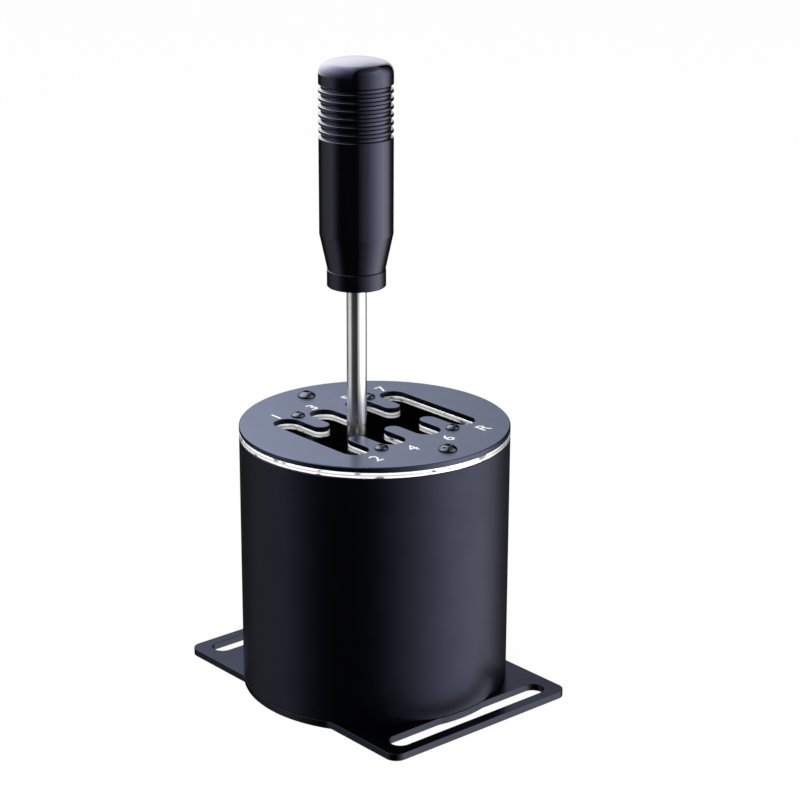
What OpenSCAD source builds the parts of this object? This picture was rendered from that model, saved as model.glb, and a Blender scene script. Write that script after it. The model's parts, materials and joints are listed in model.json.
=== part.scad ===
// Sim racing gear shifter: a round aluminium housing with a seven-speed H gate,
// a sprung two-axis lever and a turned knob.
// Frame: origin at the centre of the base plate's underside, +X to the driver's right (gate plane 1-2 to 7-R),
// +Y forward (gears 2, 4, 6, R to 1, 3, 5, 7), +Z up. The lever rests upright in neutral, in plane 3-4.
// Sizes are in millimetres.

/* [Housing] */
// Outer diameter of the housing tube, liner and top plate
tube_d = 110; // [106:1:124]
// Wall of the housing tube
tube_wall = 5; // [3:0.5:5.5]
// Height of the housing tube
tube_h = 104.6; // [100:0.2:130]
// Broken edge of the tube and of the top plate
edge_break = 0.4; // [0.2:0.1:1]
// From the rim to the axis of the pillars and their screws
pillar_rim = 10.8; // [10.6:0.1:12]
// Diameter of the pillars that tie the top to the base
pillar_d = 9.6; // [8:0.2:10]

/* [Base plate] */
// Thickness of the base plate
base_t = 3; // [3:0.5:6]
// Reach of each ear past the round middle of the base
ear_reach = 12.5; // [12:0.5:20]
// Width of the ears, across the car
ear_w = 94; // [80:1:104]
// Corner radius of the ears
ear_r = 5; // [2:0.5:6]
// Width of a mounting slot
mount_slot_w = 9; // [5.5:0.5:9.5]
// Web between a mounting slot and the outer edge of its ear
mount_slot_web = 4.8; // [4:0.1:6]
// Web between a mounting slot's end and the side of its ear
mount_slot_side = 6.35; // [5:0.05:12]

/* [Gate] */
// Thickness of the top plate
plate_t = 2.2; // [2:0.1:4]
// Thickness of the polished liner under the top plate
liner_t = 2.2; // [2:0.1:4]
// Distance between neighbouring gate planes
gate_pitch = 18.8; // [18:0.1:19.4]
// Width of a gate slot in the top plate
gate_slot_w = 11.6; // [11:0.1:12]
// From the neutral line to the centre of a slot's round end
gate_reach = 21; // [20:0.5:23]
// Half width of the neutral channel, at the tips of the teeth
neutral_half = 8; // [7:0.25:10]
// How far the liner's edge stands into the slots past the top plate
liner_inset = 0.1; // [0:0.05:0.3]
// From the neutral line to the gate screws
gate_screw_y = 26.2; // [25:0.1:29]

/* [Lever and knob] */
// Diameter of the lever shaft
shaft_d = 8; // [6:0.5:8]
// Length of shaft that shows between the gate and the knob
shaft_show = 58.8; // [50:0.1:80]
// Depth of the knob's blind bore
knob_bore_depth = 36; // [25:1:44]
// Diameter of the knob's grip
knob_d = 29.2; // [27:0.2:36]
// Height of the knob, from its collar to the top of its dome
knob_h = 83.2; // [78:0.1:100]
// Diameter of the knob's lower end
knob_end_d = 23; // [18:0.2:24]
// Height of the knob's tapered lower end
knob_taper_h = 14.3; // [8:0.1:18]
// Radius of the knob's shoulder
knob_shoulder_r = 4.6; // [4:0.1:7]
// Rise of the dome above the shoulder
knob_dome = 1.5; // [0.4:0.1:2]
// From the top of the dome to the first groove's middle
groove_drop = 11.3; // [10.8:0.1:16]
// Number of grooves in the knob
groove_n = 7; // [3:1:8]
// Distance between grooves
groove_pitch = 3.1; // [3:0.1:3.8]
// Depth of a groove
groove_depth = 0.95; // [0.4:0.05:1.2]
// Width of a groove at its bottom
groove_floor = 1.1; // [0.6:0.1:1.2]
// Height of each sloped side of a groove
groove_slope = 0.7; // [0.4:0.05:0.8]
// Diameter of the lock collar under the knob
collar_d = 23.4; // [20:0.2:26]
// Height of the lock collar
collar_h = 7; // [5:0.1:12]
// Broken edge of the lock collar
collar_break = 0.35; // [0.2:0.05:0.8]

/* [Pivot] */
// Height of both lever axes above the base plate
pivot_h = 23; // [22.5:0.5:32]
// Diameter of the select pins and the shift pin
pin_d = 6; // [5:0.5:6]
// Gimbal ring, outside length across the car
ring_w = 36; // [36:0.5:38]
// Gimbal ring, outside length along the car
ring_l = 40; // [38:0.5:44]
// Height of the gimbal ring
ring_h = 12; // [11.5:0.5:14]
// Wall of the gimbal ring
ring_wall = 6; // [5.5:0.5:6.5]
// Wall of the bushes
bush_wall = 1.5; // [1:0.1:1.7]
// Thickness of a bush's flange
flange_t = 1; // [0.8:0.1:1.4]
// Width of a bush's flange past its barrel
flange_rim = 1.5; // [1:0.1:1.8]
// Thickness of the bracket's cheeks
cheek_t = 6; // [5:0.5:8]
// Width of the bracket's cheeks
cheek_w = 24; // [22:1:28]
// Thickness of the bracket's floor
bracket_floor_t = 4; // [3.5:0.5:4]
// Outer diameter of the lever hub's barrel and socket
hub_d = 16; // [14:0.5:17]
// Height of the hub's socket above the pivot
hub_h = 26; // [22:0.5:32]
// From the pivot to the foot of the shaft in its socket
shaft_seat = 5; // [4.5:0.25:8]
// Lever lean from neutral into a gear, in degrees
shift_angle = 13; // [11:0.5:14]

/* [Detent and springs] */
// Radius of the notched tail under the hub
detent_r = 15; // [14.5:0.1:15.5]
// Half angle of the notched tail, in degrees
detent_half_angle = 26; // [24:1:30]
// Thickness of the notched tail and width of the leaf spring
detent_w = 5; // [4:0.25:5.5]
// Radius of the bump on the leaf spring
bump_r = 1.5; // [1.2:0.05:1.6]
// How far the bump's centre lies outside the tail
bump_offset = 1; // [0.8:0.05:1.2]
// Thickness of the leaf spring
leaf_t = 0.6; // [0.4:0.05:0.7]
// Width of the leaf spring's foot
leaf_foot_w = 16; // [15:0.5:20]
// Outer diameter of a centring spring
spring_d = 7; // [6:0.25:7]
// Wire of a centring spring
spring_wire = 0.9; // [0.7:0.05:1]
// Number of turns in a centring spring
spring_turns = 4.5; // [3.5:0.25:5]

/* [Electronics] */
// Thickness of the circuit boards
board_t = 1.6; // [1:0.2:2]
// Controller board, length across the car
board_l = 24; // [22:1:26]
// Controller board, width along the car
board_w = 34; // [28:1:36]
// Height of the controller board above the base
board_rise = 9; // [8:0.5:14]
// From the inside of the tube to the controller board
board_rim = 4; // [4:0.25:6]
// Width of a sensor board
sensor_w = 24; // [23:0.5:26]
// Height of a sensor board
sensor_h = 12; // [10:0.5:13]
// Thickness of the magnets
magnet_t = 2.5; // [2:0.25:3]
// Air gap between a magnet and its sensor
sensor_gap = 0.4; // [0.3:0.1:0.8]
// Width of the recess in the tube for the plug
recess_w = 13; // [12:0.5:16]
// Height of the recess in the tube for the plug
recess_h = 8; // [7:0.5:9]

/* [Hidden] */
$fn = 48;
// Finer rounds for the large outer forms
fine_fn = 96;

// Fits: a press or seat, a running fit, a gap between moving faces, a tapped hole and a through hole
seat_clear = 0.02;
run_clear = 0.05;
move_gap = 0.3;
tap_clear = 0.05;
hole_clear = 0.2;
// Overshoot of cutting tools past the faces that they cut
over = 1;

// Fasteners as [shank diameter, head diameter, head height, key across flats]
m4_button = [4, 7.6, 2.2, 2.5];
m3_button = [3, 5.7, 1.65, 2];
m25_pan = [2.5, 4.4, 1.3, 1.5];
m2_pan = [2, 3.6, 1.1, 1.3];
m4_flat = [4, 7.6, 1.8, 2.5];
m3_flat = [3, 5.6, 1.3, 2];
m4_grub = [4, 4, 0, 2];
// Straight rim at the foot of a rounded head
head_rim = 0.4;
// Depth of a key socket as a share of the head's height
socket_share = 0.6;
// Thread engaged in the pillars, in the bracket and in the gimbal ring and bracket cheeks
pillar_thread = 8;
bracket_thread = 3.2;
small_thread = 4;
// Depth of a tapped hole past its screw
tap_run_out = 0.8;
// Nuts under the gate
nut_flats = 5.5;
nut_h = 2.4;

// Levels of the stack
base_top = base_t;
tube_top = base_top + tube_h;
liner_top = tube_top + liner_t;
plate_top = liner_top + plate_t;
tube_r = tube_d / 2;
tube_ir = tube_r - tube_wall;
pillar_y = tube_r - pillar_rim;

// Base plate
ear_l = tube_d + 2 * ear_reach;
mount_slot_y = ear_l / 2 - mount_slot_web - mount_slot_w / 2;
mount_slot_l = ear_w - 2 * mount_slot_side;

// Gate
gate_planes = [-1.5, -0.5, 0.5, 1.5];
gate_teeth = [-1, 0, 1];
screw_teeth = [-1, 1];
tooth_w = gate_pitch - gate_slot_w;
sides = [-1, 1];

// Pivot: the select axis runs along Y and the shift axis along X, both through this point
pivot_x = -gate_pitch / 2;
pivot_z = base_top + pivot_h;
bush_d = pin_d + 2 * run_clear + 2 * bush_wall;
flange_d = bush_d + 2 * flange_rim;
window_w = ring_w - 2 * ring_wall;
window_l = ring_l - 2 * ring_wall;
cheek_in = ring_l / 2 + move_gap + flange_t;
cheek_out = cheek_in + cheek_t;
ring_r = 3;
window_r = 2;
hub_half = window_w / 2 - flange_t - move_gap;
pin_proud = 1;
select_pin_end = cheek_out + pin_proud;
shift_pin_left = ring_w / 2 + 2 * pin_proud;
shift_pin_right = ring_w / 2 + pin_proud / 2;
grub_z = 16;

// Bracket
// The centring springs stand under the middle of the ring's side walls
spring_x = (ring_w - ring_wall) / 2;
spring_floor_rim = 5;
floor_w = 2 * (spring_x + spring_floor_rim);
floor_top = base_top + bracket_floor_t;
bracket_screw_x = 14;
bracket_screw_y = 14;
spigot_h = 1.5;
spigot_clear = 0.3;

// Detent
notch_clear = 0.1;
notch_r = bump_r + notch_clear;
notch_steps = [-1, 0, 1];
bump_z = detent_r + bump_offset;
leaf_below_bump = 0.6;
leaf_drop = bump_z + leaf_below_bump;
leaf_leg_inset = 2;
leaf_leg_y = window_l / 2 + leaf_leg_inset;
leaf_tip_y = 7;
leaf_screw_x = 5.3;
leaf_screw_inset = 2;
leaf_screw_y = ring_l / 2 - leaf_screw_inset;

// Centring springs
spring_top_gap = 0.2;
spring_bottom = floor_top;
spring_top = pivot_z - ring_h / 2 - spring_top_gap;
rings_per_turn = 8;
wire_sides = 6;

// Sensors and boards
chip_t = 1.2;
sensor_chip = 5;
spacer_d = 4.4;
sensor_screw_x = 9;
select_board_y = select_pin_end + magnet_t + sensor_gap + chip_t;
shift_board_x = shift_pin_left + magnet_t + sensor_gap + chip_t;
board_x1 = tube_ir - board_rim;
board_x0 = board_x1 - board_l;
board_z = base_top + board_rise;
board_corner = 3;
board_r = 1;
chip_r = 0.5;
controller_chip_l = 9;
board_spacer_d = 5.5;
socket_w = 8.9;
socket_h = 3.2;
socket_wall = 0.3;
socket_l = 7.4;
socket_floor = 1.2;
tongue_w = 6.6;
tongue_t = 0.7;
tongue_l = 4.6;
socket_z = board_z + board_t + socket_h / 2;
socket_gap = 0.5;
socket_face = tube_ir - socket_gap;

// Lever
collar_z = plate_top + shaft_show;
knob_z = collar_z + collar_h;
shaft_foot = pivot_z + shaft_seat;
shaft_end_gap = 0.5;
shaft_top = knob_z + knob_bore_depth - shaft_end_gap;
shaft_tip = 0.6;
// How far the knob's dome cuts into the round of its shoulder
dome_bite = 0.015;

// Moves to the point where both lever axes cross
module at_pivot() {
    translate([pivot_x, 0, pivot_z]) children();
}

// Turns the local Z axis to +X, with local X to Y and local Y to Z
module facing_x() {
    rotate([90, 0, 90]) children();
}

// Turns the local Z axis to +Y, keeping local X
module facing_y() {
    rotate([-90, 0, 0]) children();
}

// Rectangle with round corners, centred
module rounded(w, l, r) {
    square([w - 2 * r, l], center = true);
    square([w, l - 2 * r], center = true);
    for (sx = sides, sy = sides)
        translate([sx * (w / 2 - r), sy * (l / 2 - r)]) circle(r);
}

// Slot outline with round ends, centred, running along X
module stadium(l, w) {
    square([l - w, w], center = true);
    for (s = sides)
        translate([s * (l - w) / 2, 0]) circle(d = w);
}

// Disc with its outer edges broken at the bottom and the top
module broken_disc(d, h, low, high) {
    rotate_extrude()
        polygon([[0, 0], [d / 2 - low, 0], [d / 2, low], [d / 2, h - high], [d / 2 - high, h], [0, h]]);
}

// Hollow round piece along Z
module sleeve(od, id, h) {
    linear_extrude(h) difference() {
        circle(d = od);
        circle(d = id);
    }
}

// Key socket cut down into a head, from its top
module key_socket(flats, depth) {
    translate([0, 0, -depth]) cylinder(d = flats / cos(30), h = depth + over, $fn = 6);
}

// Screw with a rounded head on z = 0 and its shank below
module button_screw(size, shank) {
    rise = size[2] - head_rim;
    ball = (pow(size[1] / 2, 2) + rise * rise) / (2 * rise);
    difference() {
        intersection() {
            translate([0, 0, size[2] - ball]) sphere(ball, $fn = fine_fn);
            cylinder(d = size[1], h = size[2]);
        }
        translate([0, 0, size[2]]) key_socket(size[3], size[2] * socket_share);
    }
    translate([0, 0, -shank]) cylinder(d = size[0], h = shank);
}

// Countersunk screw driven upwards, its flat head on z = 0
module flat_screw(size, shank) {
    difference() {
        union() {
            cylinder(d1 = size[1], d2 = size[0], h = size[2]);
            cylinder(d = size[0], h = shank);
        }
        mirror([0, 0, 1]) key_socket(size[3], size[2] * socket_share);
    }
}

// Room for a countersunk screw in the plate that holds its head
module flat_screw_hole(size, depth) {
    translate([0, 0, -over])
        cylinder(d = size[0] + 2 * hole_clear, h = depth + 2 * over);
    cylinder(d1 = size[1] + 2 * tap_clear, d2 = size[0] + 2 * tap_clear, h = size[2]);
}

// Flanged bush along Z, its flange below z = 0
module flanged_bush(length) {
    difference() {
        union() {
            cylinder(d = bush_d, h = length);
            translate([0, 0, -flange_t]) cylinder(d = flange_d, h = flange_t);
        }
        translate([0, 0, -flange_t - over])
            cylinder(d = pin_d + 2 * run_clear, h = length + flange_t + 2 * over);
    }
}

// The eight-slot gate, drawn smaller all round by an inset
module gate_outline(inset) {
    tip_y = neutral_half + tooth_w / 2;
    for (k = gate_planes)
        translate([k * gate_pitch, 0]) rotate(90)
            stadium(2 * gate_reach + gate_slot_w - 2 * inset, gate_slot_w - 2 * inset);
    difference() {
        square([(len(gate_planes) - 1) * gate_pitch, 2 * tip_y], center = true);
        for (k = gate_teeth, s = sides)
            translate([k * gate_pitch, s * tip_y]) circle(d = tooth_w + 2 * inset);
    }
}

// Places a child at each pillar
module at_pillars() {
    for (s = sides)
        translate([0, s * pillar_y, 0]) children();
}

// Places a child at each gate screw
module at_gate_screws() {
    for (k = screw_teeth, s = sides)
        translate([k * gate_pitch, s * gate_screw_y, 0]) children();
}

// Places a child at each bracket screw
module at_bracket_screws() {
    for (sx = sides, sy = sides)
        translate([pivot_x + sx * bracket_screw_x, sy * bracket_screw_y, 0]) children();
}

// Places a child at each corner screw of the controller board
module at_board_screws() {
    for (x = [board_x0 + board_corner, board_x1 - board_corner], s = sides)
        translate([x, s * (board_w / 2 - board_corner), 0]) children();
}

// Through holes for the two rows of screws in the gate plates
module gate_screw_holes(h) {
    at_pillars() translate([0, 0, -over]) cylinder(d = m4_button[0] + 2 * hole_clear, h = h + 2 * over);
    at_gate_screws() translate([0, 0, -over]) cylinder(d = m3_button[0] + 2 * hole_clear, h = h + 2 * over);
}

module base_plate() {
    color("dimgray") difference() {
        linear_extrude(base_t) {
            circle(d = tube_d, $fn = fine_fn);
            difference() {
                rounded(ear_w, ear_l, ear_r);
                for (s = sides)
                    translate([0, s * mount_slot_y]) stadium(mount_slot_l, mount_slot_w);
            }
        }
        at_pillars() flat_screw_hole(m4_flat, base_t);
        at_bracket_screws() flat_screw_hole(m3_flat, base_t);
        at_board_screws() translate([0, 0, -over])
            cylinder(d = m25_pan[0] + 2 * tap_clear, h = base_t + 2 * over);
    }
}

module housing_tube() {
    color("dimgray") difference() {
        translate([0, 0, base_top]) rotate_extrude($fn = fine_fn)
            polygon([[tube_ir, 0], [tube_r - edge_break, 0], [tube_r, edge_break],
                [tube_r, tube_h - edge_break], [tube_r - edge_break, tube_h], [tube_ir, tube_h]]);
        translate([tube_ir - over, 0, socket_z]) facing_x()
            linear_extrude(tube_wall + 2 * over) stadium(recess_w, recess_h);
    }
}

module gate_liner() {
    color("silver") translate([0, 0, tube_top]) difference() {
        cylinder(d = tube_d, h = liner_t, $fn = fine_fn);
        translate([0, 0, -over]) linear_extrude(liner_t + 2 * over) gate_outline(liner_inset);
        gate_screw_holes(liner_t);
    }
}

module top_plate() {
    color("slategray") translate([0, 0, liner_top]) difference() {
        broken_disc(tube_d, plate_t, edge_break / 2, edge_break, $fn = fine_fn);
        translate([0, 0, -over]) linear_extrude(plate_t + 2 * over) gate_outline(0);
        gate_screw_holes(plate_t);
    }
}

module top_screws() {
    color("black") at_pillars() translate([0, 0, plate_top])
        button_screw(m4_button, plate_t + liner_t + pillar_thread);
}

module gate_screws() {
    color("black") at_gate_screws() translate([0, 0, plate_top])
        button_screw(m3_button, plate_t + liner_t + nut_h);
}

module gate_nuts() {
    color("silver") at_gate_screws() translate([0, 0, tube_top - nut_h]) difference() {
        cylinder(d = nut_flats / cos(30), h = nut_h, $fn = 6);
        translate([0, 0, -over]) cylinder(d = m3_button[0] + 2 * tap_clear, h = nut_h + 2 * over);
    }
}

// A pillar, tapped at both ends
module pillar() {
    depth = pillar_thread + tap_run_out;
    difference() {
        translate([0, 0, base_top]) cylinder(d = pillar_d, h = tube_h);
        for (z = [base_top - over, tube_top - depth])
            translate([0, 0, z]) cylinder(d = m4_button[0] + 2 * tap_clear, h = depth + over);
    }
}

module front_pillar() {
    color("silver") translate([0, pillar_y, 0]) pillar();
}

module rear_pillar() {
    color("silver") translate([0, -pillar_y, 0]) pillar();
}

module base_screws() {
    color("black") at_pillars() flat_screw(m4_flat, base_t + pillar_thread);
}

// U-shaped bracket that carries the select pins between its cheeks
module pivot_bracket() {
    color("silver") difference() {
        union() {
            translate([pivot_x, 0, base_top]) linear_extrude(bracket_floor_t)
                rounded(floor_w, 2 * cheek_out, ring_r);
            for (s = sides) at_pivot()
                translate([0, s * (cheek_in + cheek_t / 2) - cheek_t / 2, 0]) facing_y()
                    linear_extrude(cheek_t) {
                        circle(d = cheek_w);
                        translate([-cheek_w / 2, 0])
                            square([cheek_w, pivot_z - base_top - bracket_floor_t / 2]);
                    }
            for (s = sides)
                translate([pivot_x + s * spring_x, 0, floor_top - over])
                    cylinder(d = spring_d - 2 * spring_wire - 2 * spigot_clear, h = spigot_h + over);
        }
        at_pivot() translate([0, -cheek_out - over, 0]) facing_y()
            cylinder(d = bush_d + 2 * seat_clear, h = 2 * (cheek_out + over));
        at_bracket_screws() translate([0, 0, base_top - over])
            cylinder(d = m3_flat[0] + 2 * tap_clear, h = bracket_floor_t + 2 * over);
        at_front_cheek(cheek_out - small_thread - tap_run_out) for (s = sides)
            translate([s * sensor_screw_x, 0, 0])
                cylinder(d = m2_pan[0] + 2 * tap_clear, h = small_thread + tap_run_out + over);
    }
}

module bracket_screws() {
    color("black") at_bracket_screws() flat_screw(m3_flat, base_t + bracket_thread);
}

module front_bush() {
    color("goldenrod") at_pivot() translate([0, cheek_in, 0]) facing_y() flanged_bush(cheek_t);
}

module rear_bush() {
    color("goldenrod") at_pivot() mirror([0, 1, 0]) translate([0, cheek_in, 0]) facing_y()
        flanged_bush(cheek_t);
}

// Centre line of a centring spring, t turns up from its foot
coil_r = (spring_d - spring_wire) / 2;
coil_rise = (spring_top - spring_bottom - spring_wire) / spring_turns;
coil_slope = atan(coil_rise / (2 * PI * coil_r));
coil_rings = round(spring_turns * rings_per_turn);
function coil_point(t) = [coil_r * cos(360 * t), coil_r * sin(360 * t), spring_wire / 2 + coil_rise * t];
function coil_out(t) = [cos(360 * t), sin(360 * t), 0];
function coil_up(t) = [sin(360 * t) * sin(coil_slope), -cos(360 * t) * sin(coil_slope), cos(coil_slope)];
coil_turns = [for (i = [0:coil_rings]) i / coil_rings * spring_turns];
// Least gap between turns, over all pairs of points more than half a turn apart
coil_gap = min([for (a = coil_turns) for (b = coil_turns)
    if (b - a > 0.5) norm(coil_point(a) - coil_point(b))]) - spring_wire;
echo(str("least gap between the turns of a centring spring: ", coil_gap, " mm"));

// One unbroken tube of wire along the coil
module coil_spring() {
    points = [for (t = coil_turns) for (k = [0:wire_sides - 1])
        coil_point(t) + spring_wire / 2 * (cos(360 * k / wire_sides) * coil_out(t)
            + sin(360 * k / wire_sides) * coil_up(t))];
    last = coil_rings * wire_sides;
    walls = [for (i = [0:coil_rings - 1]) for (k = [0:wire_sides - 1])
        let (a = i * wire_sides + k, b = i * wire_sides + (k + 1) % wire_sides)
            each [[a, b, b + wire_sides], [a, b + wire_sides, a + wire_sides]]];
    foot = [for (k = [1:wire_sides - 2]) [0, k + 1, k]];
    head = [for (k = [1:wire_sides - 2]) [last, last + k, last + k + 1]];
    polyhedron(points, concat(walls, foot, head));
}

module left_centring_spring() {
    color("lightgray") translate([pivot_x - spring_x, 0, spring_bottom]) coil_spring();
}

module right_centring_spring() {
    color("lightgray") translate([pivot_x + spring_x, 0, spring_bottom]) coil_spring();
}

// Sensor board in its own plane with two screw holes
module sensor_board() {
    linear_extrude(board_t) difference() {
        rounded(sensor_w, sensor_h, board_r);
        for (s = sides)
            translate([s * sensor_screw_x, 0]) circle(d = m2_pan[0] + 2 * hole_clear);
    }
}

// Moves in front of the pivot, with Z pointing forward and local X upright
module at_front_cheek(y) {
    at_pivot() translate([0, y, 0]) facing_y() rotate(90) children();
}

// Moves to the left of the gimbal ring, with Z pointing left and local X along Y
module at_ring_left(x) {
    at_pivot() translate([-x, 0, 0]) rotate([90, 0, -90]) children();
}

// Two spacers of a sensor board
module sensor_spacers(h) {
    for (s = sides)
        translate([s * sensor_screw_x, 0, 0]) sleeve(spacer_d, m2_pan[0] + 2 * hole_clear, h);
}

// Two screws of a sensor board
module sensor_screws(shank) {
    for (s = sides)
        translate([s * sensor_screw_x, 0, 0]) button_screw(m2_pan, shank);
}

module select_sensor_board() {
    color("darkgreen") at_front_cheek(select_board_y) sensor_board();
}

module select_sensor_chip() {
    color("black") at_front_cheek(select_board_y - chip_t)
        linear_extrude(chip_t) square(sensor_chip, center = true);
}

module select_sensor_spacers() {
    color("silver") at_front_cheek(cheek_out) sensor_spacers(select_board_y - cheek_out);
}

module select_sensor_screws() {
    color("silver") at_front_cheek(select_board_y + board_t)
        sensor_screws(select_board_y + board_t - cheek_out + small_thread);
}

module controller_board() {
    color("darkgreen") difference() {
        translate([(board_x0 + board_x1) / 2, 0, board_z]) linear_extrude(board_t)
            rounded(board_l, board_w, board_r);
        at_board_screws() translate([0, 0, board_z - over])
            cylinder(d = m25_pan[0] + 2 * hole_clear, h = board_t + 2 * over);
    }
}

module controller_chip() {
    color("black") translate([(board_x0 + board_x1) / 2 - controller_chip_l / 2, 0, board_z + board_t])
        linear_extrude(chip_t) rounded(controller_chip_l, controller_chip_l, chip_r);
}

module board_spacers() {
    color("silver") at_board_screws() translate([0, 0, base_top])
        sleeve(board_spacer_d, m25_pan[0] + 2 * hole_clear, board_rise);
}

module board_screws() {
    color("silver") at_board_screws() translate([0, 0, board_z + board_t])
        button_screw(m25_pan, board_t + board_rise + base_t);
}

// Oval metal shell of the socket, open towards the recess in the tube
module usb_socket() {
    color("silver") translate([socket_face - socket_l, 0, socket_z]) facing_x() difference() {
        linear_extrude(socket_l) stadium(socket_w, socket_h);
        translate([0, 0, socket_floor]) linear_extrude(socket_l)
            stadium(socket_w - 2 * socket_wall, socket_h - 2 * socket_wall);
    }
}

module usb_tongue() {
    color("black") translate([socket_face - socket_l + socket_floor, 0, socket_z]) facing_x()
        linear_extrude(tongue_l) square([tongue_w, tongue_t], center = true);
}

// Rectangular ring that turns on the select pins and carries the shift pin
module gimbal_ring() {
    color("silver") at_pivot() difference() {
        translate([0, 0, -ring_h / 2]) linear_extrude(ring_h) difference() {
            rounded(ring_w, ring_l, ring_r);
            rounded(window_w, window_l, window_r);
        }
        translate([0, -ring_l / 2 - over, 0]) facing_y()
            cylinder(d = pin_d + 2 * seat_clear, h = ring_l + 2 * over);
        translate([-ring_w / 2 - over, 0, 0]) facing_x()
            cylinder(d = bush_d + 2 * seat_clear, h = ring_w + 2 * over);
        for (s = sides) {
            translate([s * leaf_screw_x, -leaf_screw_y, -ring_h / 2 - over])
                cylinder(d = m2_pan[0] + 2 * tap_clear, h = small_thread + tap_run_out + over);
            translate([-ring_w / 2 - over, s * sensor_screw_x, 0]) facing_x()
                cylinder(d = m2_pan[0] + 2 * tap_clear, h = small_thread + tap_run_out + over);
        }
    }
}

module select_pin() {
    translate([0, window_l / 2, 0]) facing_y() cylinder(d = pin_d, h = select_pin_end - window_l / 2);
}

module front_select_pin() {
    color("lightgray") at_pivot() select_pin();
}

module rear_select_pin() {
    color("lightgray") at_pivot() mirror([0, 1, 0]) select_pin();
}

module select_magnet() {
    color("gray") at_front_cheek(select_pin_end) cylinder(d = pin_d, h = magnet_t);
}

// Shift bush, its flange inside the ring's window
module shift_bush() {
    translate([window_w / 2, 0, 0]) facing_x() flanged_bush(ring_wall);
}

module left_bush() {
    color("goldenrod") at_pivot() mirror([1, 0, 0]) shift_bush();
}

module right_bush() {
    color("goldenrod") at_pivot() shift_bush();
}

// Leaf spring with a bump that drops into the notches of the hub's tail
module detent_spring() {
    leg_outer = leaf_leg_y + leaf_t;
    color("lightgray") at_pivot() {
        translate([-detent_w / 2, 0, 0]) facing_x() linear_extrude(detent_w) {
            translate([-leg_outer, -leaf_drop - leaf_t]) square([leg_outer + leaf_tip_y, leaf_t]);
            translate([-leg_outer, -leaf_drop - leaf_t])
                square([leaf_t, leaf_drop + leaf_t - ring_h / 2]);
            intersection() {
                translate([0, -bump_z]) circle(bump_r);
                translate([-bump_r, -leaf_drop - leaf_t]) square([2 * bump_r, leaf_drop]);
            }
        }
        difference() {
            translate([-leaf_foot_w / 2, -ring_l / 2, -ring_h / 2 - leaf_t])
                cube([leaf_foot_w, ring_l / 2 - leaf_leg_y, leaf_t]);
            for (s = sides)
                translate([s * leaf_screw_x, -leaf_screw_y, -ring_h / 2 - leaf_t - over])
                    cylinder(d = m2_pan[0] + 2 * hole_clear, h = leaf_t + 2 * over);
        }
    }
}

module detent_spring_screws() {
    color("silver") at_pivot() for (s = sides)
        translate([s * leaf_screw_x, -leaf_screw_y, -ring_h / 2 - leaf_t]) mirror([0, 0, 1])
            button_screw(m2_pan, leaf_t + small_thread);
}

module shift_sensor_board() {
    color("darkgreen") at_ring_left(shift_board_x) sensor_board();
}

module shift_sensor_chip() {
    color("black") at_ring_left(shift_board_x - chip_t)
        linear_extrude(chip_t) square(sensor_chip, center = true);
}

module shift_sensor_spacers() {
    color("silver") at_ring_left(ring_w / 2) sensor_spacers(shift_board_x - ring_w / 2);
}

module shift_sensor_screws() {
    color("silver") at_ring_left(shift_board_x + board_t)
        sensor_screws(shift_board_x + board_t - ring_w / 2 + small_thread);
}

// Notched sector under the hub, drawn with Y across and Z up
module detent_tail() {
    reach = 2 * detent_r;
    difference() {
        intersection() {
            circle(detent_r);
            polygon([[0, 0], reach * [-sin(detent_half_angle), -cos(detent_half_angle)],
                reach * [sin(detent_half_angle), -cos(detent_half_angle)]]);
        }
        for (k = notch_steps)
            rotate(k * shift_angle) translate([0, -bump_z]) circle(notch_r);
    }
}

// Hub on the shift pin, with the shaft's socket above and the detent tail below
module lever_hub() {
    color("dimgray") at_pivot() difference() {
        union() {
            translate([-hub_half, 0, 0]) facing_x() cylinder(d = hub_d, h = 2 * hub_half);
            cylinder(d = hub_d, h = hub_h);
            translate([-detent_w / 2, 0, 0]) facing_x() linear_extrude(detent_w) detent_tail();
        }
        translate([-hub_half - over, 0, 0]) facing_x()
            cylinder(d = pin_d + 2 * seat_clear, h = 2 * (hub_half + over));
        translate([0, 0, shaft_seat]) cylinder(d = shaft_d + 2 * seat_clear, h = hub_h);
        translate([0, -hub_d / 2 - over, grub_z]) facing_y()
            cylinder(d = m4_grub[0] + 2 * tap_clear, h = hub_d / 2 + over);
    }
}

module shift_pin() {
    color("lightgray") at_pivot() translate([-shift_pin_left, 0, 0]) facing_x()
        cylinder(d = pin_d, h = shift_pin_left + shift_pin_right);
}

module shift_magnet() {
    color("gray") at_ring_left(shift_pin_left) cylinder(d = pin_d, h = magnet_t);
}

module hub_set_screw() {
    length = (hub_d - shaft_d) / 2 - seat_clear;
    color("black") at_pivot() translate([0, -hub_d / 2 + length, grub_z]) rotate([90, 0, 0]) difference() {
        cylinder(d = m4_grub[0], h = length);
        translate([0, 0, length]) key_socket(m4_grub[3], length / 2);
    }
}

module lever_shaft() {
    color("silver") translate([pivot_x, 0, shaft_foot])
        broken_disc(shaft_d, shaft_top - shaft_foot, shaft_tip, shaft_tip);
}

// Lock collar that jams against the knob
module knob_collar() {
    color("black") translate([pivot_x, 0, collar_z]) difference() {
        broken_disc(collar_d, collar_h, collar_break, collar_break);
        translate([0, 0, -over]) cylinder(d = shaft_d + 2 * seat_clear, h = collar_h + 2 * over);
    }
}

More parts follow.
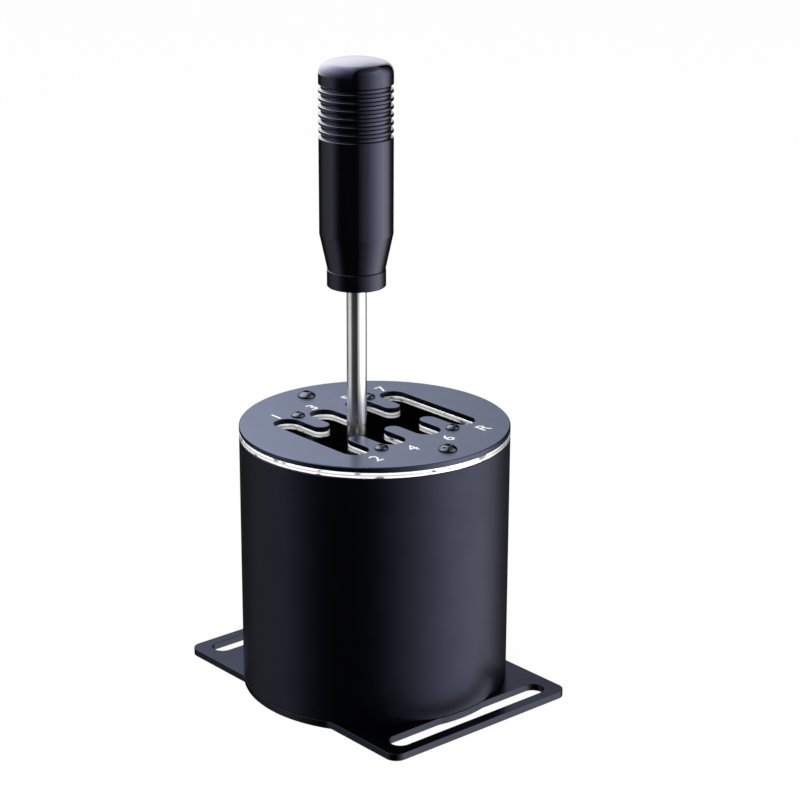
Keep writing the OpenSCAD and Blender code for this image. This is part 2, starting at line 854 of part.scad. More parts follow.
// Half outline of the knob, from its taper up to a dome that runs into the shoulder almost without a kink
module knob_profile() {
    r = knob_d / 2;
    shoulder = knob_shoulder_r;
    shoulder_x = r - shoulder;
    side_top = knob_h - knob_dome - shoulder + dome_bite;
    dome_r = (shoulder_x * shoulder_x + knob_dome * knob_dome) / (2 * knob_dome) + shoulder;
    dome_x = shoulder_x * dome_r / (dome_r - shoulder);
    polygon([[0, 0], [knob_end_d / 2, 0], [r, knob_taper_h], [r, side_top], [0, side_top]]);
    intersection() {
        translate([0, knob_h - dome_r]) circle(dome_r);
        translate([0, side_top]) union() {
            square([dome_x, shoulder + knob_dome]);
            intersection() {
                translate([shoulder_x, 0]) circle(shoulder);
                square([r, shoulder]);
            }
        }
    }
}

// One groove of the knob, wider at its mouth than at its floor
module knob_groove() {
    r = knob_d / 2;
    mouth = groove_floor / 2 + groove_slope * (groove_depth + over) / groove_depth;
    polygon([[r - groove_depth, -groove_floor / 2], [r + over, -mouth], [r + over, mouth],
        [r - groove_depth, groove_floor / 2]]);
}

module shift_knob() {
    color("black") translate([pivot_x, 0, knob_z]) difference() {
        rotate_extrude($fn = fine_fn) difference() {
            knob_profile();
            for (k = [0:groove_n - 1])
                translate([0, knob_h - groove_drop - k * groove_pitch]) knob_groove();
        }
        translate([0, 0, -over]) cylinder(d = shaft_d + 2 * seat_clear, h = knob_bore_depth + over);
    }
}

base_plate();
housing_tube();
gate_liner();
top_plate();
top_screws();
gate_screws();
gate_nuts();
front_pillar();
rear_pillar();
base_screws();
pivot_bracket();
bracket_screws();
front_bush();
rear_bush();
left_centring_spring();
right_centring_spring();
select_sensor_board();
select_sensor_chip();
select_sensor_spacers();
select_sensor_screws();
controller_board();
controller_chip();
board_spacers();
board_screws();
usb_socket();
usb_tongue();
gimbal_ring();
front_select_pin();
rear_select_pin();
select_magnet();
left_bush();
right_bush();
detent_spring();
detent_spring_screws();
shift_sensor_board();
shift_sensor_chip();
shift_sensor_spacers();
shift_sensor_screws();
lever_hub();
shift_pin();
shift_magnet();
hub_set_screw();
lever_shaft();
knob_collar();
shift_knob();
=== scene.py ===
"""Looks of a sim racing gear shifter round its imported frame: finishes, knob, gear digits, studio and camera.
Metres, in the frame of the CAD: +X to the driver's right, +Y forward, +Z up."""
import json
import math

import bmesh
import bpy
from mathutils import Matrix, Vector


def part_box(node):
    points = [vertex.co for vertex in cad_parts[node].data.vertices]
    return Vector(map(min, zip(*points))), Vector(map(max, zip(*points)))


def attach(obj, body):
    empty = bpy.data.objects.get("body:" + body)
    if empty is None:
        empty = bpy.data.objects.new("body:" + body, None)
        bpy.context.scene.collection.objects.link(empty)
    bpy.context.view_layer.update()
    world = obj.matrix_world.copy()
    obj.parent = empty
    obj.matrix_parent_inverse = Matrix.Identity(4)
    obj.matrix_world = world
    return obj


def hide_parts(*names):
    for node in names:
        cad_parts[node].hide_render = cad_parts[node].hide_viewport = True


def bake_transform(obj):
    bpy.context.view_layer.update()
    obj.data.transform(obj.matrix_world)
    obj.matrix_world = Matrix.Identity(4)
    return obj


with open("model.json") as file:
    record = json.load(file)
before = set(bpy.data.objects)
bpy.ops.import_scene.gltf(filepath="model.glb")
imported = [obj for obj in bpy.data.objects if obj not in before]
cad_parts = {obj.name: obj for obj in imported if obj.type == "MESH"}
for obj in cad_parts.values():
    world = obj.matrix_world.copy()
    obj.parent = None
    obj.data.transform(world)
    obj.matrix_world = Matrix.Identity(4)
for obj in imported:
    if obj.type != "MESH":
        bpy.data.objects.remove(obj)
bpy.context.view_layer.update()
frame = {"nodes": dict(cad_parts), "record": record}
nodes = frame["nodes"]

MM = 0.001
AHEAD = Vector((1, 0, 0))
ASIDE = Vector((0, 1, 0))
UP = Vector((0, 0, 1))
DOWN = Vector((0, 0, -1))
EVEN = (1, 1, 1)
WHITE = (1, 1, 1)

# Camera, fitted to the outlines in the photograph
CAMERA_AZIMUTH = math.radians(-40.27)
CAMERA_ELEVATION = math.radians(18.89)
CAMERA_DISTANCE = 0.9194
CAMERA_TARGET = Vector((0, 0, 0.110))
CAMERA_LENS = 102.05
CAMERA_SENSOR = 36
CAMERA_SHIFT = (0.0316, 0.0329)

# Gear digits: height of a digit, how far its paint stands above the plate, and the distances that place it
DIGIT_HEIGHT = 6 * MM
DIGIT_PAINT = 0.02 * MM
DIGIT_RAW_DEPTH = 1
DIGIT_BOLD = 0.006
GATE_PITCH = 18.8 * MM
GATE_PLANES = (-1.5, -0.5, 0.5, 1.5)
# Each row's gears from left to right, its place beside the gate's planes and its place forward
DIGIT_ROWS = [("1357", 1.6 * MM, 30.8 * MM), ("246R", 0, -34 * MM)]

# Broken edges that the light catches, by node: their width and the least angle that counts as an edge
SHARP = math.radians(32)
SLIGHT = math.radians(10.5)
EDGES = {
    "top_plate": (0.14 * MM, SHARP),
    "gate_liner": (0.12 * MM, SHARP),
    "base_plate": (0.3 * MM, SHARP),
    "top_screws": (0.15 * MM, SHARP),
    "gate_screws": (0.12 * MM, SHARP),
}
EDGE_SEGMENTS = 2
FLAT_ANGLE = math.radians(0.5)
FLAT_WEIGHT = 100
WELD_DISTANCE = 1e-6

# Broken upper edge of the lock collar, with painted shade that takes its shine down over this band
COLLAR_EDGE = 0.38 * MM
COLLAR_EDGE_BLUR = 0.1 * MM
COLLAR_SHADE_SHINE = 0.12

# Seam half way up the liner's edge: its tone, and half the width of it and its core as shares of the edge
SEAM_TONE = 0.45
SEAM_WIDTH = 0.16
SEAM_CORE = SEAM_WIDTH / 3

# Knob: the solid's outline, and grooves with the narrow lips that catch the light in the photograph
KNOB_END_RADIUS = 11.5 * MM
KNOB_BORE_RADIUS = 4.02 * MM
KNOB_BORE_DEPTH = 36 * MM
KNOB_TAPER_HEIGHT = 14.3 * MM
KNOB_SHOULDER_RADIUS = 4.6 * MM
KNOB_DOME_RISE = 1.5 * MM
KNOB_EDGE = (0.08 * MM, SLIGHT)
GROOVES = 7
GROOVE_DROP = 11.3 * MM
GROOVE_PITCH = 3.1 * MM
# One groove upwards, by depth and height from its middle: lip, ledge, floor and brow
GROOVE = [
    (0, -0.97 * MM),
    (0.5 * MM, -0.62 * MM),
    (0.95 * MM, -0.55 * MM),
    (0.95 * MM, 0.55 * MM),
    (0, 1.25 * MM),
]
TURN_STEPS = 144
ARC_STEPS = 16

# Finishes by material slot. The colour drifts from dark to light in clouds of a size, and a fine grain of a
# size sets roughness and relief. Names with a capital are sockets of the shader, with _ for a space.
NOISE_MIDDLE = (0.3, 0.7)
GRAIN_DETAIL = 3.0
CLOUD_DETAIL = 2.0
CLOUD = 12 * MM
KNOB_TURNING = dict(
    dark=(0.0004, 0.0004, 0.0006), light=(0.0007, 0.0007, 0.0010), grain=0.3 * MM, relief=0.0003 * MM,
    stretch=(0.3, 0.3, 2), Specular_Tint=(0.62, 0.64, 1.0, 1))
FINISHES = {
    "anodised_black": dict(
        dark=(0.0215, 0.0225, 0.0295), light=(0.0247, 0.0257, 0.0337), rough=(0.24, 0.30),
        grain=0.35 * MM, relief=0.002 * MM, Metallic=1.0, Specular_Tint=(0.66, 0.68, 0.74, 1)),
    "tube_black": dict(
        dark=(0.0180, 0.0188, 0.0288), light=(0.0207, 0.0215, 0.0328), rough=(0.33, 0.39),
        grain=0.35 * MM, relief=0.002 * MM, Metallic=1.0, Specular_Tint=(0.94, 0.95, 1, 1)),
    "gate_black": dict(
        dark=(0.0345, 0.0375, 0.0545), light=(0.041, 0.044, 0.063), rough=(0.26, 0.34),
        grain=0.35 * MM, relief=0.002 * MM, Metallic=1.0, Specular_Tint=(0.85, 0.90, 0.99, 1)),
    "polished_steel": dict(
        dark=(0.17, 0.17, 0.20), light=(0.95, 0.95, 0.96), rough=(0.16, 0.3),
        grain=0.5 * MM, relief=0.001 * MM, cloud=4 * MM, cloud_stretch=(0.6, 0.6, 1.8), drift=(0.34, 0.42),
        Metallic=0.3),
    "black_oxide": dict(
        dark=(0.048, 0.049, 0.056), light=(0.068, 0.069, 0.077), rough=(0.09, 0.13),
        grain=0.2 * MM, relief=0.001 * MM, cloud=2 * MM, Metallic=1.0, Specular_Tint=(0.58, 0.58, 0.60, 1)),
    "shaft_steel": dict(
        dark=(0.72, 0.72, 0.73), light=(0.80, 0.80, 0.81), rough=(0.17, 0.22),
        grain=0.5 * MM, relief=0.0001 * MM, stretch=(0.02, 0.02, 2), cloud=20 * MM, Metallic=1.0,
        Anisotropic=0.9, Anisotropic_Rotation=0.25),
    "knob_black": dict(KNOB_TURNING, rough=(0.06, 0.10), Specular_IOR_Level=0.5),
    "collar_black": dict(KNOB_TURNING, rough=(0.18, 0.24), Specular_IOR_Level=0.4),
    "machined_alloy": dict(
        dark=(0.60, 0.61, 0.62), light=(0.70, 0.71, 0.72), rough=(0.25, 0.42),
        grain=0.3 * MM, relief=0.004 * MM, stretch=(0.1, 2, 2), Metallic=1.0),
    "plated_steel": dict(
        dark=(0.62, 0.63, 0.64), light=(0.74, 0.74, 0.74), rough=(0.18, 0.32),
        grain=0.25 * MM, relief=0.002 * MM, cloud=2 * MM, Metallic=1.0),
    "spring_steel": dict(
        dark=(0.44, 0.44, 0.46), light=(0.56, 0.56, 0.57), rough=(0.2, 0.32),
        grain=0.2 * MM, relief=0.002 * MM, cloud=3 * MM, Metallic=1.0),
    "bronze": dict(
        dark=(0.46, 0.27, 0.11), light=(0.58, 0.36, 0.16), rough=(0.28, 0.42),
        grain=0.2 * MM, relief=0.004 * MM, cloud=2 * MM, Metallic=1.0),
    "magnet_nickel": dict(
        dark=(0.58, 0.56, 0.52), light=(0.68, 0.66, 0.62), rough=(0.12, 0.2),
        grain=0.3 * MM, relief=0.001 * MM, cloud=2 * MM, Metallic=1.0),
    "circuit_board": dict(
        dark=(0.006, 0.05, 0.018), light=(0.012, 0.11, 0.04), rough=(0.28, 0.4),
        grain=0.4 * MM, relief=0.006 * MM, cloud=1.5 * MM),
    "chip_black": dict(
        dark=(0.012, 0.012, 0.013), light=(0.02, 0.02, 0.021), rough=(0.5, 0.65),
        grain=0.15 * MM, relief=0.006 * MM, cloud=2 * MM),
    "digit_white": dict(
        dark=(0.60, 0.60, 0.61), light=(0.68, 0.68, 0.68), rough=(0.4, 0.55),
        grain=0.2 * MM, relief=0.004 * MM, cloud=3 * MM),
}
# Nodes whose finish differs from their slot's
OWN_FINISH = {"housing_tube": "tube_black", "knob_collar": "collar_black"}

# Studio: a plain floor, an even light from all round, and two softboxes that light matt surfaces
FLOOR_SIZE = 8
FLOOR_GREY = 0.86
FLOOR_ROUGHNESS = 0.9
FLOOR_WHITE = 0.97
AMBIENT = 0.35
SOFTBOXES = {
    "top_softbox": dict(right=-0.15, away=0.1, height=1.4, size=1.3, radiance=2.6),
    "front_softbox": dict(right=-0.4, away=-1.4, height=0.9, size=1.0, radiance=9),
}

# Room that reflections alone see, with a grey card at the left and a bright one at the right. A card's tones
# go by degrees round the object, from the camera's direction to the right.
ROOM_RADIUS = 3.2
ROOM_HEIGHT = 3.6
ROOM_LOW = -2.5
ROOM_SEGMENTS = 96
ROOM_STRENGTH = 3.6
ROOM_DARK = 0.007
LEFT_CARD = [(-138, 0), (-118, 0.07), (-80, 0.23), (-58, 0.03), (-48, 0)]
RIGHT_CARD = [(4, 0), (20, 0.14), (36, 0.29), (71, 1.0), (92, 1.06), (125, 0.09), (140, 0)]
BACK = 180
FULL_TURN = 360
# Tones of the walls from the floor's height down, and of the ceiling from its middle to the right
ROOM_FALL = [(0, 1), (0.55, 1), (0.95, 0.58), (1, 0.58)]
CEILING_STRENGTH = 1
CEILING_TONES = [(0, 0.02), (0.27, 0.4), (0.66, 0.9), (1, 1.2)]

# Key card: part of a dome round a middle on the part's axis, level below, and cut upright at the right
KEY_RADIUS = 0.6
KEY_MIDDLE = 0.255
KEY_LOW = 0.16
KEY_CUT = Vector((1, -0.3, 0))
KEY_CUT_SHARE = 0.1
KEY_SUBDIVISIONS = 5
# Its light, which fades with the angle from its brightest place
KEY_STRENGTH = 9.6
KEY_TINT = (0.92, 0.93, 1.0)
KEY_AZIMUTH = math.radians(-126)
KEY_ELEVATION = math.radians(31.6)
KEY_SPREAD = math.radians(40)
KEY_POWER = 2.16
KEY_STEPS = 12
# Its tones from the middle's height up, and across a slanting edge towards the right
KEY_LOW_TONES = [(0, 0.49), (0.58, 1), (1, 1)]
KEY_EDGE = Vector((1, 0, 0.42))
KEY_EDGE_TONES = [(0, 0.80), (0.12, 0.92), (0.27, 1), (0.37, 0.61), (1, 0.59)]


def add_object(name, data):
    """A new object in the scene."""
    made = bpy.data.objects.new(name, data)
    bpy.context.scene.collection.objects.link(made)
    return made


def as_mesh(name, shape):
    """A mesh with a finished shape."""
    mesh = bpy.data.meshes.new(name)
    shape.to_mesh(mesh)
    shape.free()
    return mesh


def shader(name):
    """A new material, its node tree and its main shader."""
    material = bpy.data.materials.new(name)
    material.use_nodes = True
    tree = material.node_tree
    return material, tree, tree.nodes["Principled BSDF"]


def node(tree, kind, **values):
    """Adds a node and sets its properties."""
    made = tree.nodes.new(kind)
    for key, value in values.items():
        setattr(made, key, value)
    return made


def noise(tree, size, stretch, detail):
    """Noise with features of about the given size, drawn out along an axis by a small stretch value."""
    coords = node(tree, "ShaderNodeTexCoord")
    mapping = node(tree, "ShaderNodeMapping")
    mapping.inputs["Scale"].default_value = stretch
    texture = node(tree, "ShaderNodeTexNoise")
    texture.inputs["Scale"].default_value = 1 / size
    texture.inputs["Detail"].default_value = detail
    tree.links.new(coords.outputs["Object"], mapping.inputs["Vector"])
    tree.links.new(mapping.outputs["Vector"], texture.inputs["Vector"])
    return texture.outputs["Fac"]


def point_height(tree):
    """The height of a point of the part."""
    coords = node(tree, "ShaderNodeTexCoord")
    parts = node(tree, "ShaderNodeSeparateXYZ")
    tree.links.new(coords.outputs["Object"], parts.inputs["Vector"])
    return parts.outputs["Z"]


def spread(tree, value, target, span=NOISE_MIDDLE):
    """Maps a span of a value to a target range."""
    ranged = node(tree, "ShaderNodeMapRange")
    for key, number in zip(("From Min", "From Max", "To Min", "To Max"), (*span, *target)):
        ranged.inputs[key].default_value = number
    tree.links.new(value, ranged.inputs["Value"])
    return ranged.outputs["Result"]


def ramp(tree, value, stops):
    """Maps a value to colours, from a list of positions and colours."""
    made = node(tree, "ShaderNodeValToRGB")
    marks = made.color_ramp.elements
    while len(marks) < len(stops):
        marks.new(1)
    for mark, (position, colour) in zip(marks, stops):
        mark.position = position
        mark.color = (*colour, 1)
    tree.links.new(value, made.inputs["Fac"])
    return made.outputs["Color"]


def product(tree, total, *colours):
    """Colours multiplied."""
    for colour in colours:
        mix = node(tree, "ShaderNodeMix", data_type="RGBA", blend_type="MULTIPLY")
        mix.inputs["Factor"].default_value = 1
        tree.links.new(total, mix.inputs["A"])
        tree.links.new(colour, mix.inputs["B"])
        total = mix.outputs["Result"]
    return total


def bump(tree, value, relief):
    """A bump of the given height."""
    made = node(tree, "ShaderNodeBump")
    made.inputs["Distance"].default_value = relief
    tree.links.new(value, made.inputs["Height"])
    return made.outputs["Normal"]


def finish(name, dark, light, rough, grain, relief, stretch=EVEN,
           cloud=CLOUD, cloud_stretch=EVEN, drift=NOISE_MIDDLE, **sockets):
    """A finish whose tone drifts slowly between two colours and whose fine grain sets roughness and bump."""
    material, tree, bsdf = shader(name)
    fine = noise(tree, grain, stretch, GRAIN_DETAIL)
    slow = noise(tree, cloud, cloud_stretch, CLOUD_DETAIL)
    tree.links.new(ramp(tree, slow, list(zip(drift, (dark, light)))), bsdf.inputs["Base Color"])
    tree.links.new(spread(tree, fine, rough), bsdf.inputs["Roughness"])
    tree.links.new(bump(tree, fine, relief), bsdf.inputs["Normal"])
    for key, value in sockets.items():
        bsdf.inputs[key.replace("_", " ")].default_value = value
    return material


LOOKS = {name: finish(name, **values) for name, values in FINISHES.items()}


def turn_finish(material):
    """Runs the grain of a finish round the piece's upright axis, as on a ground shaft."""
    tree = material.node_tree
    tangent = node(tree, "ShaderNodeTangent", direction_type="RADIAL", axis="Z")
    tree.links.new(tangent.outputs["Tangent"], tree.nodes["Principled BSDF"].inputs["Tangent"])


def scribe(material, low, high):
    """Darkens a finish along a line half way between two heights, as where two sheets meet."""
    tree = material.node_tree
    colour = tree.nodes["Principled BSDF"].inputs["Base Color"]
    places = [(-SEAM_WIDTH, 1), (-SEAM_CORE, SEAM_TONE), (SEAM_CORE, SEAM_TONE), (SEAM_WIDTH, 1)]
    stops = [(0.5 + place, (tone, tone, tone)) for place, tone in places]
    line = ramp(tree, spread(tree, point_height(tree), (0, 1), (low, high)), stops)
    tree.links.new(product(tree, colour.links[0].from_socket, line), colour)


def shade_upper_edge(material, top):
    """Paints shade on the upper edge of a piece that has a top at the given height, by taking its shine down.
    """
    tree = material.node_tree
    shine = tree.nodes["Principled BSDF"].inputs["Specular IOR Level"]
    edge = top - COLLAR_EDGE
    levels = (shine.default_value, COLLAR_SHADE_SHINE)
    tree.links.new(spread(tree, point_height(tree), levels, (edge - COLLAR_EDGE_BLUR, edge)), shine)


def soften(piece, width, angle):
    """Breaks a piece's sharp edges by a narrow bevel, with flat faces kept flat."""
    weld = piece.modifiers.new("weld", "WELD")
    weld.merge_threshold = WELD_DISTANCE
    flat = piece.modifiers.new("flat", "DECIMATE")
    flat.decimate_type = "DISSOLVE"
    flat.angle_limit = FLAT_ANGLE
    bevel = piece.modifiers.new("bevel", "BEVEL")
    bevel.limit_method = "ANGLE"
    bevel.angle_limit = angle
    bevel.width = width
    bevel.segments = EDGE_SEGMENTS
    normals = piece.modifiers.new("normals", "WEIGHTED_NORMAL")
    normals.weight = FLAT_WEIGHT


def dress_nodes():
    """Gives every CAD node its finish, and some nodes broken edges."""
    for part in frame["record"]["subparts"]:
        name = part["node"]
        materials = nodes[name].data.materials
        materials.clear()
        materials.append(LOOKS[OWN_FINISH.get(name, part["material_slot"])])
    for name, edge in EDGES.items():
        soften(nodes[name], *edge)
    turn_finish(LOOKS["shaft_steel"])
    scribe(LOOKS["polished_steel"], *(corner.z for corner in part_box("gate_liner")))
    # Painted shade on the collar's upper edge: its shine is taken down
    shade_upper_edge(LOOKS["collar_black"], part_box("knob_collar")[1].z)


def flex_spring(name):
    """Stands for a coil spring's node with a still copy of its mesh, in place."""
    piece = add_object(name + "_coil", nodes[name].data.copy())
    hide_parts(name)
    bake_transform(piece)


def arc(centre_r, centre_z, radius, start, end):
    """Points along an arc of a turned outline."""
    angles = [start + (end - start) * step / ARC_STEPS for step in range(ARC_STEPS + 1)]
    return [(centre_r + radius * math.cos(angle), centre_z + radius * math.sin(angle)) for angle in angles]


def knob_outline(radius, height):
    """Half outline of the knob, from its bore down, out, and up over the grooves to the top of its dome."""
    points = [(0, KNOB_BORE_DEPTH), (KNOB_BORE_RADIUS, KNOB_BORE_DEPTH), (KNOB_BORE_RADIUS, 0)]
    points += [(KNOB_END_RADIUS, 0), (radius, KNOB_TAPER_HEIGHT)]
    for groove in reversed(range(GROOVES)):
        middle = height - GROOVE_DROP - groove * GROOVE_PITCH
        points += [(radius - depth, middle + rise) for depth, rise in GROOVE]
    # The dome's arc and the shoulder's share a tangent where they meet
    inner = radius - KNOB_SHOULDER_RADIUS
    reach = (inner ** 2 + KNOB_DOME_RISE ** 2) / (2 * KNOB_DOME_RISE)
    meeting = math.atan2(reach - KNOB_DOME_RISE, inner)
    dome_radius = reach + KNOB_SHOULDER_RADIUS
    points += arc(inner, height - KNOB_DOME_RISE - KNOB_SHOULDER_RADIUS, KNOB_SHOULDER_RADIUS, 0, meeting)
    points += arc(0, height - dome_radius, dome_radius, meeting, math.pi / 2)[1:]
    return points


def turned_knob():
    """The knob, turned about its own axis in the place of its node."""
    low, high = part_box("shift_knob")
    middle = (low + high) / 2
    size = high - low
    shape = bmesh.new()
    verts = [shape.verts.new((r, 0, z)) for r, z in knob_outline(size.x / 2, size.z)]
    edges = [shape.edges.new(pair) for pair in zip(verts, verts[1:])]
    bmesh.ops.spin(
        shape, geom=verts + edges, cent=(0, 0, 0), axis=UP, angle=math.tau, steps=TURN_STEPS)
    bmesh.ops.remove_doubles(shape, verts=shape.verts, dist=WELD_DISTANCE)
    bmesh.ops.recalc_face_normals(shape, faces=shape.faces)
    for face in shape.faces:
        face.smooth = True
    mesh = as_mesh("turned_knob", shape)
    mesh.transform(Matrix.Translation((middle.x, middle.y, low.z)))
    mesh.materials.append(LOOKS["knob_black"])
    piece = add_object("turned_knob", mesh)
    soften(piece, *KNOB_EDGE)
    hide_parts("shift_knob")
    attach(piece, "lever")


def digit_mesh(text):
    """A flat digit of the set height, centred, as a mesh."""
    curve = bpy.data.curves.new("digit", "FONT")
    curve.body = text
    curve.align_x = "CENTER"
    curve.extrude = DIGIT_RAW_DEPTH
    curve.offset = DIGIT_BOLD
    carrier = add_object("digit", curve)
    graph = bpy.context.evaluated_depsgraph_get()
    mesh = bpy.data.meshes.new_from_object(carrier.evaluated_get(graph))
    bpy.data.objects.remove(carrier)
    low = min(v.co.y for v in mesh.vertices)
    high = max(v.co.y for v in mesh.vertices)
    scale = DIGIT_HEIGHT / (high - low)
    centred = Matrix.Translation((0, -(low + high) / 2, 0))
    mesh.transform(Matrix.Diagonal((scale, scale, DIGIT_PAINT / DIGIT_RAW_DEPTH, 1)) @ centred)
    return mesh


def gear_digits():
    """The painted digits beside the ends of the gate's slots, as one piece."""
    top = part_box("top_plate")[1].z
    whole = bmesh.new()
    for gears, aside, y in DIGIT_ROWS:
        for plane, gear in zip(GATE_PLANES, gears):
            digit = digit_mesh(gear)
            digit.transform(Matrix.Translation((plane * GATE_PITCH + aside, y, top)))
            whole.from_mesh(digit)
            bpy.data.meshes.remove(digit)
    mesh = as_mesh("gear_digits", whole)
    mesh.materials.append(LOOKS["digit_white"])
    piece = add_object("gear_digits", mesh)
    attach(piece, "housing")


def pale_rays(tree):
    """1 for the rays that see the background as plain white: the camera's, mirrors' and glass's."""
    path = node(tree, "ShaderNodeLightPath")
    total = path.outputs["Is Camera Ray"]
    for name in ("Is Glossy Ray", "Is Transmission Ray"):
        most = node(tree, "ShaderNodeMath", operation="MAXIMUM")
        tree.links.new(total, most.inputs[0])
        tree.links.new(path.outputs[name], most.inputs[1])
        total = most.outputs["Value"]
    return total


def mix_shaders(tree, sources, output):
    """Sends a mix to an output node: the sources are a share and the two shaders that it mixes."""
    mix = node(tree, "ShaderNodeMixShader")
    for source, socket in zip(sources, mix.inputs):
        tree.links.new(source, socket)
    tree.links.new(mix.outputs["Shader"], output.inputs["Surface"])


def add_floor():
    """A plain white floor that keeps a soft shadow; reflections see the room instead."""
    half = FLOOR_SIZE / 2
    corners = [(-half, -half, 0), (half, -half, 0), (half, half, 0), (-half, half, 0)]
    mesh = bpy.data.meshes.new("floor")
    mesh.from_pydata(corners, [], [(0, 1, 2, 3)])
    floor = add_object("floor", mesh)
    material, tree, bsdf = shader("floor_white")
    bsdf.inputs["Base Color"].default_value = (FLOOR_GREY, FLOOR_GREY, FLOOR_GREY, 1)
    bsdf.inputs["Roughness"].default_value = FLOOR_ROUGHNESS
    bsdf.inputs["Specular IOR Level"].default_value = 0
    white = node(tree, "ShaderNodeEmission")
    share = node(tree, "ShaderNodeMath", operation="MULTIPLY")
    share.inputs[1].default_value = FLOOR_WHITE
    tree.links.new(pale_rays(tree), share.inputs[0])
    sources = (share.outputs["Value"], bsdf.outputs["BSDF"], white.outputs["Emission"])
    mix_shaders(tree, sources, tree.nodes["Material Output"])
    mesh.materials.append(material)
    floor.visible_glossy = False


def add_world():
    """White to the camera, mirrors and glass, and a low even light to everything else."""
    world = bpy.data.worlds.new("studio")
    world.use_nodes = True
    tree = world.node_tree
    soft = tree.nodes["Background"]
    white = node(tree, "ShaderNodeBackground")
    for background, strength in ((soft, AMBIENT), (white, 1)):
        background.inputs["Color"].default_value = (*WHITE, 1)
        background.inputs["Strength"].default_value = strength
    sources = (pale_rays(tree), soft.outputs["Background"], white.outputs["Background"])
    mix_shaders(tree, sources, tree.nodes["World Output"])
    bpy.context.scene.world = world


def from_camera(right, away, height):
    """A place given to the right of the object as the camera sees it, away from the camera, and up."""
    sine = math.sin(CAMERA_AZIMUTH)
    cosine = math.cos(CAMERA_AZIMUTH)
    return Vector((right * cosine - away * sine, right * sine + away * cosine, height))


def graded(tree, tones, gradient="LINEAR", scale=1, along=AHEAD, tint=WHITE):
    """Tones along a gradient texture, from a list of positions and brightnesses."""
    coords = node(tree, "ShaderNodeTexCoord")
    mapping = node(tree, "ShaderNodeMapping")
    mapping.inputs["Scale"].default_value = (scale, scale, scale)
    mapping.inputs["Rotation"].default_value = along.to_track_quat("X", "Z").inverted().to_euler()
    texture = node(tree, "ShaderNodeTexGradient", gradient_type=gradient)
    tree.links.new(coords.outputs["Object"], mapping.inputs["Vector"])
    tree.links.new(mapping.outputs["Vector"], texture.inputs["Vector"])
    stops = [(position, [tone * part for part in tint]) for position, tone in tones]
    return ramp(tree, texture.outputs["Fac"], stops)


def glow(name, strength, *grades):
    """A card's light: a strength times the tones of its gradients."""
    material = bpy.data.materials.new(name)
    material.use_nodes = True
    tree = material.node_tree
    tree.nodes.clear()
    colours = [graded(tree, **grade) for grade in grades]
    light = node(tree, "ShaderNodeEmission")
    light.inputs["Strength"].default_value = strength
    out = node(tree, "ShaderNodeOutputMaterial")
    tree.links.new(product(tree, *colours), light.inputs["Color"])
    tree.links.new(light.outputs["Emission"], out.inputs["Surface"])
    return material


def add_card(name, shape, *materials):
    """A stage piece that only reflections see."""
    mesh = as_mesh(name, shape)
    for material in materials:
        mesh.materials.append(material)
    card = add_object(name, mesh)
    card.visible_camera = False
    card.visible_diffuse = False
    card.visible_transmission = False
    card.visible_shadow = False
    return card


def add_room():
    """Walls, bottom and ceiling far from the object, with X towards the camera and Y to the right."""
    shape = bmesh.new()
    bmesh.ops.create_cone(
        shape, cap_ends=True, radius1=ROOM_RADIUS, radius2=ROOM_RADIUS, depth=ROOM_HEIGHT - ROOM_LOW,
        segments=ROOM_SEGMENTS)
    bmesh.ops.translate(shape, vec=(0, 0, (ROOM_HEIGHT + ROOM_LOW) / 2), verts=shape.verts)
    for face in shape.faces:
        face.material_index = int(min(v.co.z for v in face.verts) > ROOM_HEIGHT / 2)
    around = [(-BACK, 0), *LEFT_CARD, *RIGHT_CARD, (BACK, 0)]
    turned = [(0.5 + angle / FULL_TURN, ROOM_DARK + tone) for angle, tone in around]
    sides = glow(
        "room_sides", ROOM_STRENGTH, dict(tones=turned, gradient="RADIAL"),
        dict(tones=ROOM_FALL, scale=-1 / ROOM_LOW, along=DOWN))
    ceiling = glow(
        "room_ceiling", CEILING_STRENGTH, dict(tones=CEILING_TONES, scale=1 / ROOM_RADIUS, along=ASIDE))
    room = add_card("room", shape, sides, ceiling)
    room.rotation_euler = (0, 0, CAMERA_AZIMUTH - math.pi / 2)


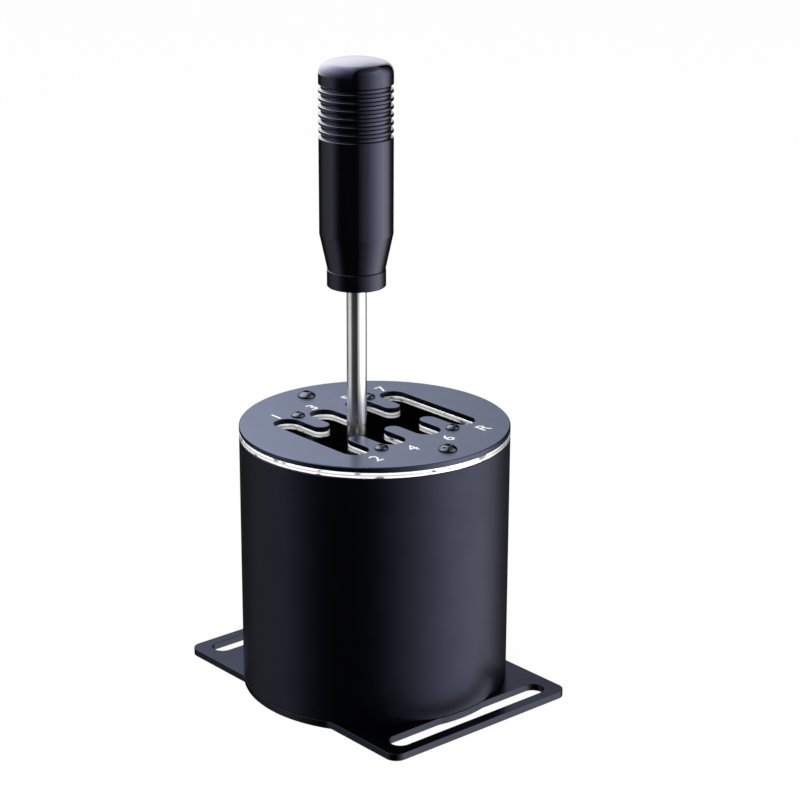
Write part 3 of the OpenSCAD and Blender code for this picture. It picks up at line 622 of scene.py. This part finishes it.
def add_key_card():
    """Part of a dome at the left and the back, whose light fades away from an aim and past an edge."""
    level = math.cos(KEY_ELEVATION)
    aim = from_camera(math.sin(KEY_AZIMUTH) * level, -math.cos(KEY_AZIMUTH) * level, math.sin(KEY_ELEVATION))
    cut = from_camera(*KEY_CUT).normalized()
    shape = bmesh.new()
    bmesh.ops.create_icosphere(shape, subdivisions=KEY_SUBDIVISIONS, radius=KEY_RADIUS)
    for place, outer in ((UP * (KEY_LOW - KEY_MIDDLE), -UP), (cut * KEY_CUT_SHARE * KEY_RADIUS, cut)):
        geometry = [*shape.verts, *shape.edges, *shape.faces]
        bmesh.ops.bisect_plane(shape, geom=geometry, plane_co=place, plane_no=outer, clear_outer=True)
    fade = []
    for step in range(KEY_STEPS + 1):
        cosine = step / KEY_STEPS
        fade.append((cosine, math.exp(-0.5 * (math.acos(cosine) / KEY_SPREAD) ** KEY_POWER)))
    scale = 1 / KEY_RADIUS
    light = glow(
        "key_glow", KEY_STRENGTH, dict(tones=fade, scale=scale, along=aim, tint=KEY_TINT),
        dict(tones=KEY_LOW_TONES, scale=scale, along=UP),
        dict(tones=KEY_EDGE_TONES, scale=scale, along=from_camera(*KEY_EDGE)))
    card = add_card("key_card", shape, light)
    card.location = (0, 0, KEY_MIDDLE)


def add_softbox(name, right, away, height, size, radiance):
    """A square softbox that lights matt surfaces; reflections see the cards instead."""
    place = from_camera(right, away, height)
    light = bpy.data.lights.new(name, "AREA")
    light.shape = "SQUARE"
    light.size = size
    light.energy = radiance * math.pi * size * size
    lamp = add_object(name, light)
    lamp.location = place
    lamp.rotation_mode = "QUATERNION"
    lamp.rotation_quaternion = (CAMERA_TARGET - place).to_track_quat("-Z", "Y")
    lamp.visible_camera = False
    lamp.visible_glossy = False


def add_camera():
    """The photograph's camera."""
    data = bpy.data.cameras.new("camera")
    data.lens = CAMERA_LENS
    data.sensor_width = CAMERA_SENSOR
    data.shift_x, data.shift_y = CAMERA_SHIFT
    camera = add_object("camera", data)
    back = from_camera(0, -math.cos(CAMERA_ELEVATION), math.sin(CAMERA_ELEVATION))
    camera.location = CAMERA_TARGET + back * CAMERA_DISTANCE
    camera.rotation_mode = "QUATERNION"
    camera.rotation_quaternion = (-back).to_track_quat("-Z", "Y")
    bpy.context.scene.camera = camera


dress_nodes()
flex_spring("left_centring_spring")
flex_spring("right_centring_spring")
turned_knob()
gear_digits()

add_floor()
add_world()
add_room()
add_key_card()
for name, values in SOFTBOXES.items():
    add_softbox(name, **values)
add_camera()
bpy.context.scene.view_settings.view_transform = "Standard"
